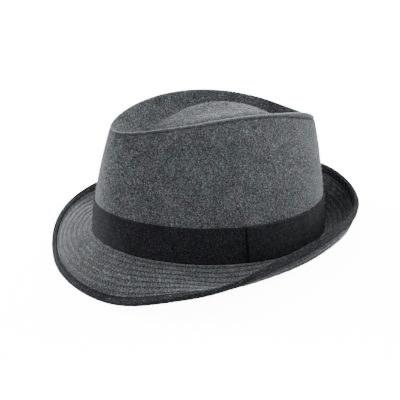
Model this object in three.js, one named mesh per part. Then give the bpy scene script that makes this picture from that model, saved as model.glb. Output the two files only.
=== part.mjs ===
// Trilby hat in wool cloth, resting on a level surface.
// Millimetres, +Z up, the front of the hat towards -Y and the wearer's left towards +X.
// Every piece is a closed body swept round the head, at angles measured from the front.
import * as THREE from 'three';

// Cloth and clearances
const WALL = 2.0; // crown cloth with its fused backing
const BRIM_THICKNESS = 2.0; // two layers of cloth round a stiff core
const RIBBON = 1.0; // band, tab and binding cloth
const CLEARANCE = 0.3; // between pieces that are sewn face to face
const ROUND_STEPS = 64; // columns round the head

// Foot of the crown, where it meets the brim
const FOOT_HALF_LENGTH = 105;
const FOOT_HALF_WIDTH = 87.8;
const FOOT_EGG = 0.02; // share by which the foot widens towards the back
const FOOT_SADDLE = 1.0; // lift at front and back, drop at the sides

// Rim of the crown, the ridge round its top
const RIM_HALF_LENGTH = 95.8;
const RIM_HALF_WIDTH = 50.0;
const RIM_EGG = 0.083; // share by which the rim widens towards the back
const RIM_PINCH = 0.029; // share by which it narrows at its sides
const RIM_TAPER = -0.054; // third wave of its width, fuller in front of and behind the sides
const RIM_BLUNT = -0.025;
const RIM_HEIGHT = 101.6;
const RIM_FRONT_LIFT = 1.55; // front up and back down
const RIM_SIDE_LIFT = 8.2; // sides up, front and back down
const RIM_NOSE_LIFT = 0.4; // the third wave, which sharpens the front
const WALL_BULGE = 3.0;

// Ridge, groove and dome of the tip
const RIDGE_WIDTH = 3.2;
const RIDGE_DROP = 0.6; // how far the ridge has fallen at its inner edge
const LIP_HEIGHT = 2.2;
const GROOVE_DEPTH = 14.5;
const GROOVE_AT = 0.79; // place of the groove, from the dome's centre to the ridge
const DOME_HEIGHT = 102.5;
const DOME_SHIFT = 21; // dome's centre behind the middle of the hat

// Band
const BAND_HEIGHT = 28.8;
const BAND_ROOM = 2.0; // what the brim leaves for the band beside the crown
const TAB_FROM = 82; // degrees round from the front
const TAB_TO = 115;
const TAB_LIFT = 0.6; // height of the tab's lower edge above the band's

// Brim and binding
const BRIM_WIDTH = 45;
const BINDING_WIDTH = 7.2;
const ROLL_FROM = 0.3; // share of the width where the brim starts to turn
const ROLL_TO = 0.8;
// One row for each section round one half of the brim. The other half mirrors it.
// at: degrees from the front; width: share of BRIM_WIDTH; root and edge: slopes in degrees.
const BRIM_ROWS = [
  { at: 0, width: 0.955, root: -40, edge: -58 },
  { at: 25, width: 1.01, root: -28, edge: -57 },
  { at: 50, width: 1.065, root: -11, edge: -12 },
  { at: 70, width: 1.115, root: -15, edge: 35 },
  { at: 90, width: 0.955, root: -6, edge: 72 },
  { at: 115, width: 0.96, root: 15, edge: 82 },
  { at: 145, width: 0.91, root: 26, edge: 81 },
  { at: 180, width: 0.96, root: 45, edge: 98 },
];
const BRIM_STEPS = 24; // steps that follow the brim's curve from root to edge

// How deep the cloth is pressed flat where the hat rests
const REST_PRESS = 0.5;

const FULL_TURN = 2 * Math.PI;
const HALF_TURN_DEGREES = 180;

function material(color, roughness) {
  return new THREE.MeshStandardMaterial({ color, roughness, metalness: 0 });
}

const WOOL = material('#5f6467', 0.95);
const BAND_CLOTH = material('#27272b', 0.85);
const BINDING_CLOTH = material('#3c3d42', 0.85);

// Value of one column of the brim's table at any angle, by a smooth cubic between rows.
function brimValue(column, angle) {
  const turned = Math.abs(THREE.MathUtils.radToDeg(angle)) % (2 * HALF_TURN_DEGREES);
  const at = Math.min(turned, 2 * HALF_TURN_DEGREES - turned);
  const last = BRIM_ROWS.length - 1;
  let row = 0;
  while (row < last - 1 && BRIM_ROWS[row + 1].at <= at) row += 1;
  const slope = (index) => {
    if (index === 0 || index === last) return 0;
    const before = BRIM_ROWS[index - 1];
    const after = BRIM_ROWS[index + 1];
    return (after[column] - before[column]) / (after.at - before.at);
  };
  const [from, to] = [BRIM_ROWS[row], BRIM_ROWS[row + 1]];
  const span = to.at - from.at;
  const u = (at - from.at) / span;
  return from[column] * (1 + 2 * u) * (1 - u) ** 2
    + to[column] * u * u * (3 - 2 * u)
    + span * slope(row) * u * (1 - u) ** 2
    - span * slope(row + 1) * u * u * (1 - u);
}

// Ovals of the foot and of the rim, and their outward directions
function footPoint(angle) {
  const x = FOOT_HALF_WIDTH * Math.sin(angle) * (1 - FOOT_EGG * Math.cos(angle));
  const y = -FOOT_HALF_LENGTH * Math.cos(angle);
  return new THREE.Vector3(x, y, FOOT_SADDLE * Math.cos(2 * angle));
}

function rimPoint(angle) {
  const swell = 1 - RIM_EGG * Math.cos(angle) + RIM_PINCH * Math.cos(2 * angle)
    + RIM_TAPER * Math.cos(3 * angle);
  const blunt = RIM_BLUNT * (Math.cos(angle) - Math.cos(3 * angle)) / 2;
  const x = RIM_HALF_WIDTH * Math.sin(angle) * swell;
  const y = -RIM_HALF_LENGTH * (Math.cos(angle) + blunt);
  const z = RIM_HEIGHT + RIM_FRONT_LIFT * Math.cos(angle) - RIM_SIDE_LIFT * Math.cos(2 * angle)
    + RIM_NOSE_LIFT * Math.cos(3 * angle);
  return new THREE.Vector3(x, y, z);
}

function outward(curve, angle) {
  const step = FULL_TURN / (ROUND_STEPS * ROUND_STEPS);
  const along = curve(angle + step).sub(curve(angle - step));
  return new THREE.Vector3(along.y, -along.x, 0).normalize();
}

// Point on the crown's outer wall: height above the foot line, and how far outside the wall.
function wallPoint(angle, height, offset) {
  const foot = footPoint(angle);
  const rim = rimPoint(angle);
  const share = height / (rim.z - foot.z);
  const bulge = WALL_BULGE * 4 * share * (1 - share);
  return foot.lerp(rim, share).addScaledVector(outward(footPoint, angle), bulge + offset);
}

function wallHeight(angle) {
  return rimPoint(angle).z - footPoint(angle).z;
}

// Slope of the brim in radians at a share of its width
function brimSlope(angle, share) {
  const turn = THREE.MathUtils.smoothstep(share, ROLL_FROM, ROLL_TO);
  const degrees = THREE.MathUtils.lerp(brimValue('root', angle), brimValue('edge', angle), turn);
  return THREE.MathUtils.degToRad(degrees);
}

function brimWidth(angle) {
  return BRIM_WIDTH * brimValue('width', angle);
}

// Point on or beside the brim: distance along its top from the root, and height above the top.
function brimPoint(angle, along, above) {
  const width = brimWidth(angle);
  const step = along / BRIM_STEPS;
  let out = BAND_ROOM;
  let up = 0;
  for (let i = 0; i < BRIM_STEPS; i += 1) {
    const slope = brimSlope(angle, (i + 0.5) * step / width);
    out += step * Math.cos(slope);
    up += step * Math.sin(slope);
  }
  const slope = brimSlope(angle, along / width);
  out -= above * Math.sin(slope);
  up += above * Math.cos(slope);
  const point = footPoint(angle).addScaledVector(outward(footPoint, angle), out);
  point.z += up;
  return point;
}

// Point on the tip between the dome's centre (share 0) and the ridge's inner edge (share 1)
function tipPoint(angle, share) {
  const edge = rimPoint(angle).addScaledVector(outward(rimPoint, angle), -RIDGE_WIDTH);
  edge.z -= RIDGE_DROP;
  const centre = new THREE.Vector3(0, DOME_SHIFT, DOME_HEIGHT);
  const power = Math.log(0.5) / Math.log(GROOVE_AT);
  const wave = Math.sin(Math.PI * share ** power);
  const fall = share < GROOVE_AT ? wave * wave : wave;
  const point = centre.clone().lerp(edge, share);
  const rise = THREE.MathUtils.smoothstep(share, 0, 1);
  point.z = THREE.MathUtils.lerp(centre.z, edge.z, rise) - GROOVE_DEPTH * fall;
  return point;
}

// Same place on the tip's underside, one wall below along the surface's own normal
function tipUnderside(angle, share) {
  const small = 1 / (ROUND_STEPS * ROUND_STEPS);
  const point = tipPoint(angle, share);
  const inward = tipPoint(angle, share - small).sub(tipPoint(angle, share + small));
  const around = tipPoint(angle + small, share).sub(tipPoint(angle - small, share));
  const normal = inward.cross(around).normalize();
  return point.addScaledVector(normal, normal.z > 0 ? -WALL : WALL);
}

// Closed solid from a loop of section points carried round a list of angles.
// order tells how far out each section point lies, so that neighbours split alike.
function sweep(name, cloth, angles, section, order, isRing) {
  const loops = angles.map((angle) => section(angle));
  const count = order.length;
  const positions = loops.flat().flatMap((point) => point.toArray());
  const indices = [];
  const spans = isRing ? angles.length : angles.length - 1;
  for (let j = 0; j < spans; j += 1) {
    const here = j * count;
    const next = ((j + 1) % angles.length) * count;
    for (let i = 0; i < count; i += 1) {
      const k = (i + 1) % count;
      if (order[k] >= order[i]) {
        indices.push(here + i, here + k, next + k, here + i, next + k, next + i);
      } else {
        indices.push(here + i, here + k, next + i, here + k, next + k, next + i);
      }
    }
  }
  if (!isRing) addEnds(indices, order, spans * count);
  return solid(name, cloth, positions, indices);
}

// Flat ends of a strip whose section is two rows of equal length, one behind the other
function addEnds(indices, order, lastLoop) {
  const half = order.length / 2;
  for (let i = 0; i < half - 1; i += 1) {
    const back = order.length - 1 - i;
    indices.push(i, back, i + 1, i + 1, back, back - 1);
    const [a, b, c, d] = [i, i + 1, back, back - 1].map((index) => index + lastLoop);
    indices.push(a, b, c, b, d, c);
  }
}

function solid(name, cloth, positions, indices) {
  const geometry = new THREE.BufferGeometry();
  geometry.setAttribute('position', new THREE.Float32BufferAttribute(positions, 3));
  geometry.setIndex(indices);
  geometry.computeVertexNormals();
  const mesh = new THREE.Mesh(geometry, cloth);
  mesh.name = name;
  return mesh;
}

function ringAngles() {
  return Array.from({ length: ROUND_STEPS }, (_, step) => FULL_TURN * step / ROUND_STEPS);
}

function shares(count) {
  return Array.from({ length: count + 1 }, (_, step) => step / count);
}

// Wall of the crown, from the underside of the brim up to the lip of the tip
function crownSide() {
  const rows = shares(7);
  const height = (angle, share) => {
    const top = wallHeight(angle) - LIP_HEIGHT - CLEARANCE;
    return THREE.MathUtils.lerp(-BRIM_THICKNESS, top, share);
  };
  const section = (angle) => [
    ...rows.map((share) => wallPoint(angle, height(angle, share), -WALL)),
    ...rows.toReversed().map((share) => wallPoint(angle, height(angle, share), 0)),
  ];
  return sweep('crown_side', WOOL, ringAngles(), section, [...rows, ...rows.toReversed()], true);
}

// Tip of the crown: lip, ridge, groove and dome above, and the same cloth's underside
function crownTip() {
  const top = [1, 0.95, 0.9, 0.85, GROOVE_AT, 0.72, 0.63, 0.52, 0.38, 0.2];
  const under = top.slice(1).toReversed();
  const round = 0.3 * LIP_HEIGHT;
  const ridge = (angle, inset, drop) => {
    const point = rimPoint(angle).addScaledVector(outward(rimPoint, angle), -inset);
    point.z -= drop;
    return point;
  };
  const section = (angle) => [
    ...under.map((share) => tipUnderside(angle, share)),
    ridge(angle, WALL + CLEARANCE, LIP_HEIGHT),
    wallPoint(angle, wallHeight(angle) - LIP_HEIGHT, 0),
    wallPoint(angle, wallHeight(angle) - round, 0),
    ridge(angle, round, 0),
    ridge(angle, RIDGE_WIDTH - round, 0),
    ...top.map((share) => tipPoint(angle, share)),
  ];
  const loops = ringAngles().map((angle) => section(angle));
  const count = loops[0].length;
  const positions = loops.flat().flatMap((point) => point.toArray());
  const indices = [];
  const underPole = loops.length * count;
  const topPole = underPole + 1;
  for (let j = 0; j < loops.length; j += 1) {
    const here = j * count;
    const next = ((j + 1) % loops.length) * count;
    for (let i = 0; i < count - 1; i += 1) {
      indices.push(here + i, next + i + 1, here + i + 1, here + i, next + i, next + i + 1);
    }
    indices.push(underPole, next, here);
    indices.push(topPole, here + count - 1, next + count - 1);
  }
  const pole = tipPoint(0, 0);
  positions.push(pole.x, pole.y, pole.z - WALL, pole.x, pole.y, pole.z);
  return solid('crown_tip', WOOL, positions, indices);
}

// Distances along the brim at the start, middle and end of the stretch that the binding covers
function boundStops(angle) {
  const start = brimWidth(angle) - BINDING_WIDTH;
  const end = brimWidth(angle) - RIBBON - CLEARANCE;
  return [start, (start + end) / 2, end];
}

// Brim, from beside the foot of the crown out to the fold of the binding
function brim() {
  const rows = [0, 0.2, 0.38, 0.5, 0.6, 0.7, 0.8, 0.9];
  const section = (angle) => {
    const stops = boundStops(angle);
    const along = [...rows.map((share) => share * stops[0]), ...stops];
    return [
      wallPoint(angle, 0, CLEARANCE),
      ...along.map((distance) => brimPoint(angle, distance, 0)),
      ...along.toReversed().map((distance) => brimPoint(angle, distance, -BRIM_THICKNESS)),
      wallPoint(angle, -BRIM_THICKNESS, CLEARANCE),
    ];
  };
  const order = [-1, ...rows, 1, 2, 3];
  return sweep('brim', WOOL, ringAngles(), section, [...order, ...order.toReversed()], true);
}

// Binding folded round the brim's edge, with a rounded fold
function brimBinding() {
  const inner = CLEARANCE;
  const outer = CLEARANCE + RIBBON;
  const below = -BRIM_THICKNESS;
  const section = (angle) => {
    const [start, middle, end] = boundStops(angle);
    const stops = [start, middle, end + CLEARANCE];
    const row = (above) => stops.map((distance) => brimPoint(angle, distance, above));
    return [
      ...row(outer),
      brimPoint(angle, brimWidth(angle), below / 2 + inner),
      brimPoint(angle, brimWidth(angle), below / 2 - inner),
      ...row(below - outer).toReversed(),
      ...row(below - inner),
      ...row(inner).toReversed(),
    ];
  };
  const rising = [1, 2, 3];
  const falling = rising.toReversed();
  const order = [...rising, 4, 4, ...falling, ...rising, ...falling];
  return sweep('brim_binding', BINDING_CLOTH, ringAngles(), section, order, true);
}

// Band round the foot of the crown, standing on the root of the brim
function hatBand() {
  const rows = shares(2);
  const height = (share) => THREE.MathUtils.lerp(CLEARANCE, BAND_HEIGHT, share);
  const section = (angle) => [
    ...rows.map((share) => wallPoint(angle, height(share), CLEARANCE)),
    ...rows.toReversed().map((share) => wallPoint(angle, height(share), CLEARANCE + RIBBON)),
  ];
  return sweep('hat_band', BAND_CLOTH, ringAngles(), section, [...rows, ...rows.toReversed()], true);
}

// Overlap of the band on the wearer's left
function bandTab() {
  const rows = shares(2);
  const columns = 8;
  const inner = 2 * CLEARANCE + RIBBON;
  const from = THREE.MathUtils.degToRad(TAB_FROM);
  const to = THREE.MathUtils.degToRad(TAB_TO);
  const angles = shares(columns).map((share) => THREE.MathUtils.lerp(from, to, share));
  const height = (share) => THREE.MathUtils.lerp(CLEARANCE + TAB_LIFT, BAND_HEIGHT, share);
  const section = (angle) => [
    ...rows.map((share) => wallPoint(angle, height(share), inner)),
    ...rows.toReversed().map((share) => wallPoint(angle, height(share), inner + RIBBON)),
  ];
  return sweep('band_tab', BAND_CLOTH, angles, section, [...rows, ...rows.toReversed()], false);
}

// Lowest vertex of all pieces in front of the middle, or behind it
function lowest(pieces, isFront) {
  const best = new THREE.Vector3(0, 0, Infinity);
  const point = new THREE.Vector3();
  for (const piece of pieces) {
    const position = piece.geometry.getAttribute('position');
    for (let i = 0; i < position.count; i += 1) {
      point.fromBufferAttribute(position, i);
      if ((point.y < 0) === isFront && point.z < best.z) best.copy(point);
    }
  }
  return best;
}

// Turns the hat back until its front edge and the back of its foot touch one level surface,
// stands it on that surface and presses flat the little cloth that would go through it.
function settle(pieces) {
  const tries = 6;
  for (let i = 0; i < tries; i += 1) {
    const front = lowest(pieces, true);
    const back = lowest(pieces, false);
    const lean = Math.atan2(back.z - front.z, back.y - front.y);
    for (const piece of pieces) piece.geometry.rotateX(-lean);
  }
  const box = new THREE.Box3();
  for (const piece of pieces) {
    piece.geometry.computeBoundingBox();
    box.union(piece.geometry.boundingBox);
  }
  const middle = box.getCenter(new THREE.Vector3());
  for (const piece of pieces) {
    piece.geometry.translate(-middle.x, -middle.y, -box.min.z - REST_PRESS);
    const position = piece.geometry.getAttribute('position');
    for (let i = 0; i < position.count; i += 1) {
      position.setZ(i, Math.max(0, position.getZ(i)));
    }
    piece.geometry.computeVertexNormals();
  }
}

const pieces = [crownSide(), crownTip(), brim(), brimBinding(), hatBand(), bandTab()];
settle(pieces);

const hat = new THREE.Group();
hat.name = 'trilby';
hat.add(...pieces);

export default hat;
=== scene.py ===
# %% [markdown]
# ## A sewn wool trilby
# The hat has six pieces: the crown's side, its tip, the brim, the binding on the brim's edge,
# the band and the band's overlap. Each is a sheet of cloth with two faces, so each is worked out
# as a surface: one parameter runs round the head, the other across the cloth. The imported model
# is loaded first, because every piece has to lie where its solid lies.

# %% The frame
import math
import bpy
import numpy as np
from mathutils import Matrix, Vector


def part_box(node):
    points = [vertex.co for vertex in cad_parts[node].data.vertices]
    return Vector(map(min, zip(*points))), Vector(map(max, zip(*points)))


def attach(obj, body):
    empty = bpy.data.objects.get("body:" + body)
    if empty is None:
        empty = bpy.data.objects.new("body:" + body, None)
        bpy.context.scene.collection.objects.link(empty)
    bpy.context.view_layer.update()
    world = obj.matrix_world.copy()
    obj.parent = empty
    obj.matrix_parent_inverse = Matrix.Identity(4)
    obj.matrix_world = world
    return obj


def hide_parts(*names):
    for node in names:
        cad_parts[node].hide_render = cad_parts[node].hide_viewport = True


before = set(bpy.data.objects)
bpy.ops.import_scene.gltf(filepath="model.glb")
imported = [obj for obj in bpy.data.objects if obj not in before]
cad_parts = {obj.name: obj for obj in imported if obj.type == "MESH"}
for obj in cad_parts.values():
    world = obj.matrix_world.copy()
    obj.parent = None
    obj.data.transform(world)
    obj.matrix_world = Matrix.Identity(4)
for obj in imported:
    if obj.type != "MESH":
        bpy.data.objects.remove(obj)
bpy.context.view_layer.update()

print("nodes:", sorted(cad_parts))

# %% [markdown]
# ## Sizes of the hat
# A hat maker measures a hat in its own frame: the foot of the crown is level, the front looks
# towards -Y and the wearer's left towards +X. The same few sizes shape the solids, so they are
# kept here in metres, and the brim is a short table with one row for each section.

# %% Named sizes
MM = 0.001

WALL = 2.0 * MM
BRIM_THICKNESS = 2.0 * MM
RIBBON = 1.0 * MM
CLEARANCE = 0.3 * MM

FOOT_HALF_LENGTH = 105 * MM
FOOT_HALF_WIDTH = 87.8 * MM
FOOT_EGG = 0.02
FOOT_SADDLE = 1.0 * MM

RIM_HALF_LENGTH = 95.8 * MM
RIM_HALF_WIDTH = 50.0 * MM
RIM_EGG = 0.083
RIM_PINCH = 0.029
RIM_TAPER = -0.054
RIM_BLUNT = -0.025
RIM_HEIGHT = 101.6 * MM
RIM_FRONT_LIFT = 1.55 * MM
RIM_SIDE_LIFT = 8.2 * MM
RIM_NOSE_LIFT = 0.4 * MM
WALL_BULGE = 3.0 * MM

RIDGE_WIDTH = 3.2 * MM
RIDGE_DROP = 0.6 * MM
LIP_HEIGHT = 2.2 * MM
GROOVE_DEPTH = 14.5 * MM
GROOVE_AT = 0.79
DOME_HEIGHT = 102.5 * MM
DOME_SHIFT = 21 * MM

BAND_HEIGHT = 28.8 * MM
BAND_ROOM = 2.0 * MM
TAB_FROM = math.radians(82)
TAB_TO = math.radians(115)

BRIM_WIDTH = 45 * MM
BINDING_WIDTH = 7.2 * MM
ROLL_FROM, ROLL_TO = 0.3, 0.8

# Columns: degrees from the front, share of BRIM_WIDTH, slope at the root, slope at the edge
BRIM_ROWS = np.array([
    (0, 0.955, -40, -58),
    (25, 1.01, -28, -57),
    (50, 1.065, -11, -12),
    (70, 1.115, -15, 35),
    (90, 0.955, -6, 72),
    (115, 0.96, 15, 82),
    (145, 0.91, 26, 81),
    (180, 0.96, 45, 98),
])
ROW_AT, ROW_WIDTH, ROW_ROOT, ROW_EDGE = BRIM_ROWS.T
print("brim sections:", len(BRIM_ROWS))

# %% [markdown]
# ## Ovals and the brim's table as functions
# A plan outline of a head is nearly an ellipse. A few waves of the angle make it egg-shaped or
# pinched, which is easier to steer than a list of points. The brim's table is read through a
# smooth cubic, so that the sections run into each other without a kink.

# %% Easing, and the brim's table


def smooth(share):
    """Eases from 0 to 1: three times the square less twice the cube of the share."""
    share = np.clip(share, 0, 1)
    return share * share * (3 - 2 * share)


def brim_value(values, turn):
    """Cubic through the table's rows with level ends, mirrored about front and back."""
    at = np.degrees(np.arccos(np.clip(np.cos(turn), -1, 1)))
    slope = np.zeros(len(values))
    slope[1:-1] = (values[2:] - values[:-2]) / (ROW_AT[2:] - ROW_AT[:-2])
    row = np.clip(np.searchsorted(ROW_AT, at, side="right") - 1, 0, len(ROW_AT) - 2)
    span = ROW_AT[row + 1] - ROW_AT[row]
    u = (at - ROW_AT[row]) / span
    start = values[row] * (1 + 2 * u) * (1 - u) ** 2 + span * slope[row] * u * (1 - u) ** 2
    end = values[row + 1] * u * u * (3 - 2 * u) - span * slope[row + 1] * u * u * (1 - u)
    return start + end


print("slope at the brim's edge every 45 degrees:",
      np.round(brim_value(ROW_EDGE, np.radians([0, 45, 90, 135, 180]))))

# %% Foot and rim of the crown
SMALL_TURN = 1e-4  # radians, for the direction of a curve


def foot(turn):
    """Ellipse that widens backwards by FOOT_EGG and lifts at front and back by FOOT_SADDLE."""
    x = FOOT_HALF_WIDTH * np.sin(turn) * (1 - FOOT_EGG * np.cos(turn))
    y = -FOOT_HALF_LENGTH * np.cos(turn)
    return np.stack([x, y, FOOT_SADDLE * np.cos(2 * turn)], axis=-1)


def rim(turn):
    """Ellipse swollen by three waves, egg, pinch and taper; its height is three waves too."""
    swell = (1 - RIM_EGG * np.cos(turn) + RIM_PINCH * np.cos(2 * turn)
             + RIM_TAPER * np.cos(3 * turn))
    blunt = RIM_BLUNT * (np.cos(turn) - np.cos(3 * turn)) / 2
    height = (RIM_HEIGHT + RIM_FRONT_LIFT * np.cos(turn) - RIM_SIDE_LIFT * np.cos(2 * turn)
              + RIM_NOSE_LIFT * np.cos(3 * turn))
    x = RIM_HALF_WIDTH * np.sin(turn) * swell
    y = -RIM_HALF_LENGTH * (np.cos(turn) + blunt)
    return np.stack([x, y, height], axis=-1)


def outward(curve, turn):
    """Level unit vector square to a curve: its tangent turned a quarter to the outside."""
    tangent = curve(turn + SMALL_TURN) - curve(turn - SMALL_TURN)
    normal = np.stack([tangent[..., 1], -tangent[..., 0], 0 * tangent[..., 0]], axis=-1)
    return normal / np.linalg.norm(normal, axis=-1, keepdims=True)


print("crown height at front, side, back in mm:",
      np.round(1000 * rim(np.radians([0, 90, 180]))[:, 2], 1))

# %% [markdown]
# ## Three surfaces
# The crown's wall joins foot and rim with a slight bulge. The brim is a section that leaves the
# foot at one slope and turns smoothly to another, summed up from small steps. The tip falls from
# the ridge into a groove and rises to the dome: the groove is one wave of the distance to the
# middle, with its crest moved outwards.

# %% Wall of the crown


def wall(turn, height, offset=0.0):
    """Straight blend from foot to rim by height, pushed out by a parabola of WALL_BULGE."""
    low, high = foot(turn), rim(turn)
    share = height / (high[..., 2] - low[..., 2])
    push = WALL_BULGE * 4 * share * (1 - share) + offset
    point = low * (1 - share)[..., None] + high * share[..., None]
    return point + outward(foot, turn) * push[..., None]


def wall_height(turn):
    """Height of the rim above the foot line."""
    return rim(turn)[..., 2] - foot(turn)[..., 2]


print("least and greatest height of the wall in mm:",
      np.round(1000 * wall_height(np.radians(np.arange(360))).min(), 1),
      np.round(1000 * wall_height(np.radians(np.arange(360))).max(), 1))

# %% Section of the brim
BRIM_STEPS = 160  # from root to edge, for the sum


def brim_width(turn):
    """Width of the brim along its own surface, from the table."""
    return BRIM_WIDTH * brim_value(ROW_WIDTH, turn)


def brim_slope(turn, share):
    """Slope eased from root to edge between the shares ROLL_FROM and ROLL_TO."""
    turned = smooth((share - ROLL_FROM) / (ROLL_TO - ROLL_FROM))
    root, edge = brim_value(ROW_ROOT, turn), brim_value(ROW_EDGE, turn)
    return np.radians(root + (edge - root) * turned)


def brim(turn, along, above):
    """Sums the cosines and sines of the slope along the section, then steps off square to it."""
    middle = (np.arange(BRIM_STEPS) + 0.5) / BRIM_STEPS
    column = turn[0]
    width = brim_width(column)
    slopes = brim_slope(column[None, :], middle[:, None])
    zero = np.zeros((1, len(column)))
    out = np.vstack([zero, np.cumsum(np.cos(slopes), axis=0)]) * width / BRIM_STEPS
    up = np.vstack([zero, np.cumsum(np.sin(slopes), axis=0)]) * width / BRIM_STEPS
    place = along / width * BRIM_STEPS
    step = np.clip(np.floor(place).astype(int), 0, BRIM_STEPS - 1)
    rest = place - step
    reach = np.take_along_axis(out, step, 0) * (1 - rest) + np.take_along_axis(out, step + 1, 0) * rest
    rise = np.take_along_axis(up, step, 0) * (1 - rest) + np.take_along_axis(up, step + 1, 0) * rest
    slope = brim_slope(turn, along / width)
    reach = reach + BAND_ROOM - above * np.sin(slope)
    rise = rise + above * np.cos(slope)
    point = foot(turn) + outward(foot, turn) * reach[..., None]
    point[..., 2] += rise
    return point


print("width of the brim at front, side, back in mm:",
      np.round(1000 * brim_width(np.radians([0, 90, 180])), 1))

# %% Bowl of the tip


def tip(turn, share):
    """From the dome's centre (0) to the ridge's inner edge (1), less one wave for the groove."""
    edge = rim(turn) - outward(rim, turn) * RIDGE_WIDTH
    edge[..., 2] -= RIDGE_DROP
    centre = np.array([0, DOME_SHIFT, DOME_HEIGHT])
    bend = math.log(0.5) / math.log(GROOVE_AT)  # the power that puts the wave's crest at GROOVE_AT
    wave = np.sin(np.pi * share ** bend)
    fall = np.where(share < GROOVE_AT, wave * wave, wave)
    point = centre + (edge - centre) * share[..., None]
    point[..., 2] = centre[2] + (edge[..., 2] - centre[2]) * smooth(share) - GROOVE_DEPTH * fall
    return point


print("bottom of the groove beside the dome in mm:",
      np.round(1000 * tip(np.radians([90]), np.array([GROOVE_AT]))[0, 2], 1))

# %% [markdown]
# ## The hat at rest
# A snapped-down brim holds the front of the hat up, so the hat leans back until the front edge
# and the back of the foot touch the table. The lean is an angle about X, and the shift comes from
# the solid of the tip, whose highest point and middle are those of the rim's curve. Cloth that
# would go through the table is pressed flat on it.

# %% From the hat's frame to the table
LEAN = math.radians(7.365)
COLUMNS = 720
round_head = np.linspace(0, 2 * np.pi, COLUMNS, endpoint=False)


def leaned(points):
    """Turns points about X so that the front rises by LEAN."""
    y = points[..., 1] * math.cos(LEAN) + points[..., 2] * math.sin(LEAN)
    z = points[..., 2] * math.cos(LEAN) - points[..., 1] * math.sin(LEAN)
    return np.stack([points[..., 0], y, z], axis=-1)


tip_low, tip_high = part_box("crown_tip")
ridge_line = leaned(rim(round_head))
STAND = np.array([0, (tip_low[1] + tip_high[1] - ridge_line[:, 1].min() - ridge_line[:, 1].max()) / 2,
                  tip_high[2] - ridge_line[:, 2].max()])


def on_table(points):
    """Leans the points back, stands them on the table and presses flat what would go through."""
    settled = leaned(points) + STAND
    settled[..., 2] = np.maximum(settled[..., 2], 0)
    return settled


print("shift onto the table in mm:", np.round(1000 * STAND, 2))

# %% [markdown]
# ## Camera
# The camera is placed in the hat's own frame and then leaned back with it, so the hat shows the
# side that the photograph shows. The lens follows from the distance and from how many pixels of
# the 400 pixel frame a metre would fill at the hat.

# %% Camera
CAMERA_DEGREES = 59.7
CAMERA_AZIMUTH = math.radians(CAMERA_DEGREES)
CAMERA_ELEVATION = math.radians(19.9)
CAMERA_ROLL = math.radians(2.5)
CAMERA_DISTANCE = 924.5 * MM
PIXELS_PER_METRE = 1135
AIM_RIGHT = -8.6 * MM
AIM_UP = 20.6 * MM
FRAME_PIXELS = 400
SENSOR_WIDTH = 36  # mm, the unit of Blender's lens and sensor

back = np.array([math.sin(CAMERA_AZIMUTH) * math.cos(CAMERA_ELEVATION),
                 -math.cos(CAMERA_AZIMUTH) * math.cos(CAMERA_ELEVATION), math.sin(CAMERA_ELEVATION)])
level = np.array([math.cos(CAMERA_AZIMUTH), math.sin(CAMERA_AZIMUTH), 0])
upright = np.cross(back, level)
right = math.cos(CAMERA_ROLL) * level + math.sin(CAMERA_ROLL) * upright
up = math.cos(CAMERA_ROLL) * upright - math.sin(CAMERA_ROLL) * level
eye = right * AIM_RIGHT + up * AIM_UP + back * CAMERA_DISTANCE

camera_data = bpy.data.cameras.new("camera")
camera_data.sensor_width = SENSOR_WIDTH
camera_data.lens = PIXELS_PER_METRE * CAMERA_DISTANCE / FRAME_PIXELS * SENSOR_WIDTH
camera = bpy.data.objects.new("camera", camera_data)
bpy.context.scene.collection.objects.link(camera)
turned = Matrix([list(row) for row in leaned(np.array([right, up, back])).T]).to_4x4()
turned.translation = (leaned(eye) + STAND).tolist()
camera.matrix_world = turned
bpy.context.scene.camera = camera
print("lens in mm:", round(camera_data.lens, 1))
print("camera above the table in mm:", round(1000 * turned.translation.z))

# %% [markdown]
# ## From a grid to a mesh
# Every sheet of cloth is a grid of points: its rows go across the cloth and its columns round the
# head. Rows that run over the outside and come back over the inside make a closed body, so the
# cloth has its real thickness. The UV map is measured in metres of cloth, because stitches and
# weave are made in cloth, not in space.

# %% From a grid to faces


def lengths(grid, axis):
    """Mean distance covered along one axis of a closed grid, summed up from zero."""
    steps = np.linalg.norm(np.roll(grid, -1, axis=axis) - grid, axis=2).mean(axis=1 - axis)
    return np.concatenate([[0], np.cumsum(steps)])


def corner_values(numbers, i, j, ni, nj):
    """Four corners of each quad, from a table that is read at its rows and columns."""
    return np.stack([numbers(i, j), numbers(ni, j), numbers(ni, nj), numbers(i, nj)], -1)


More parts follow.
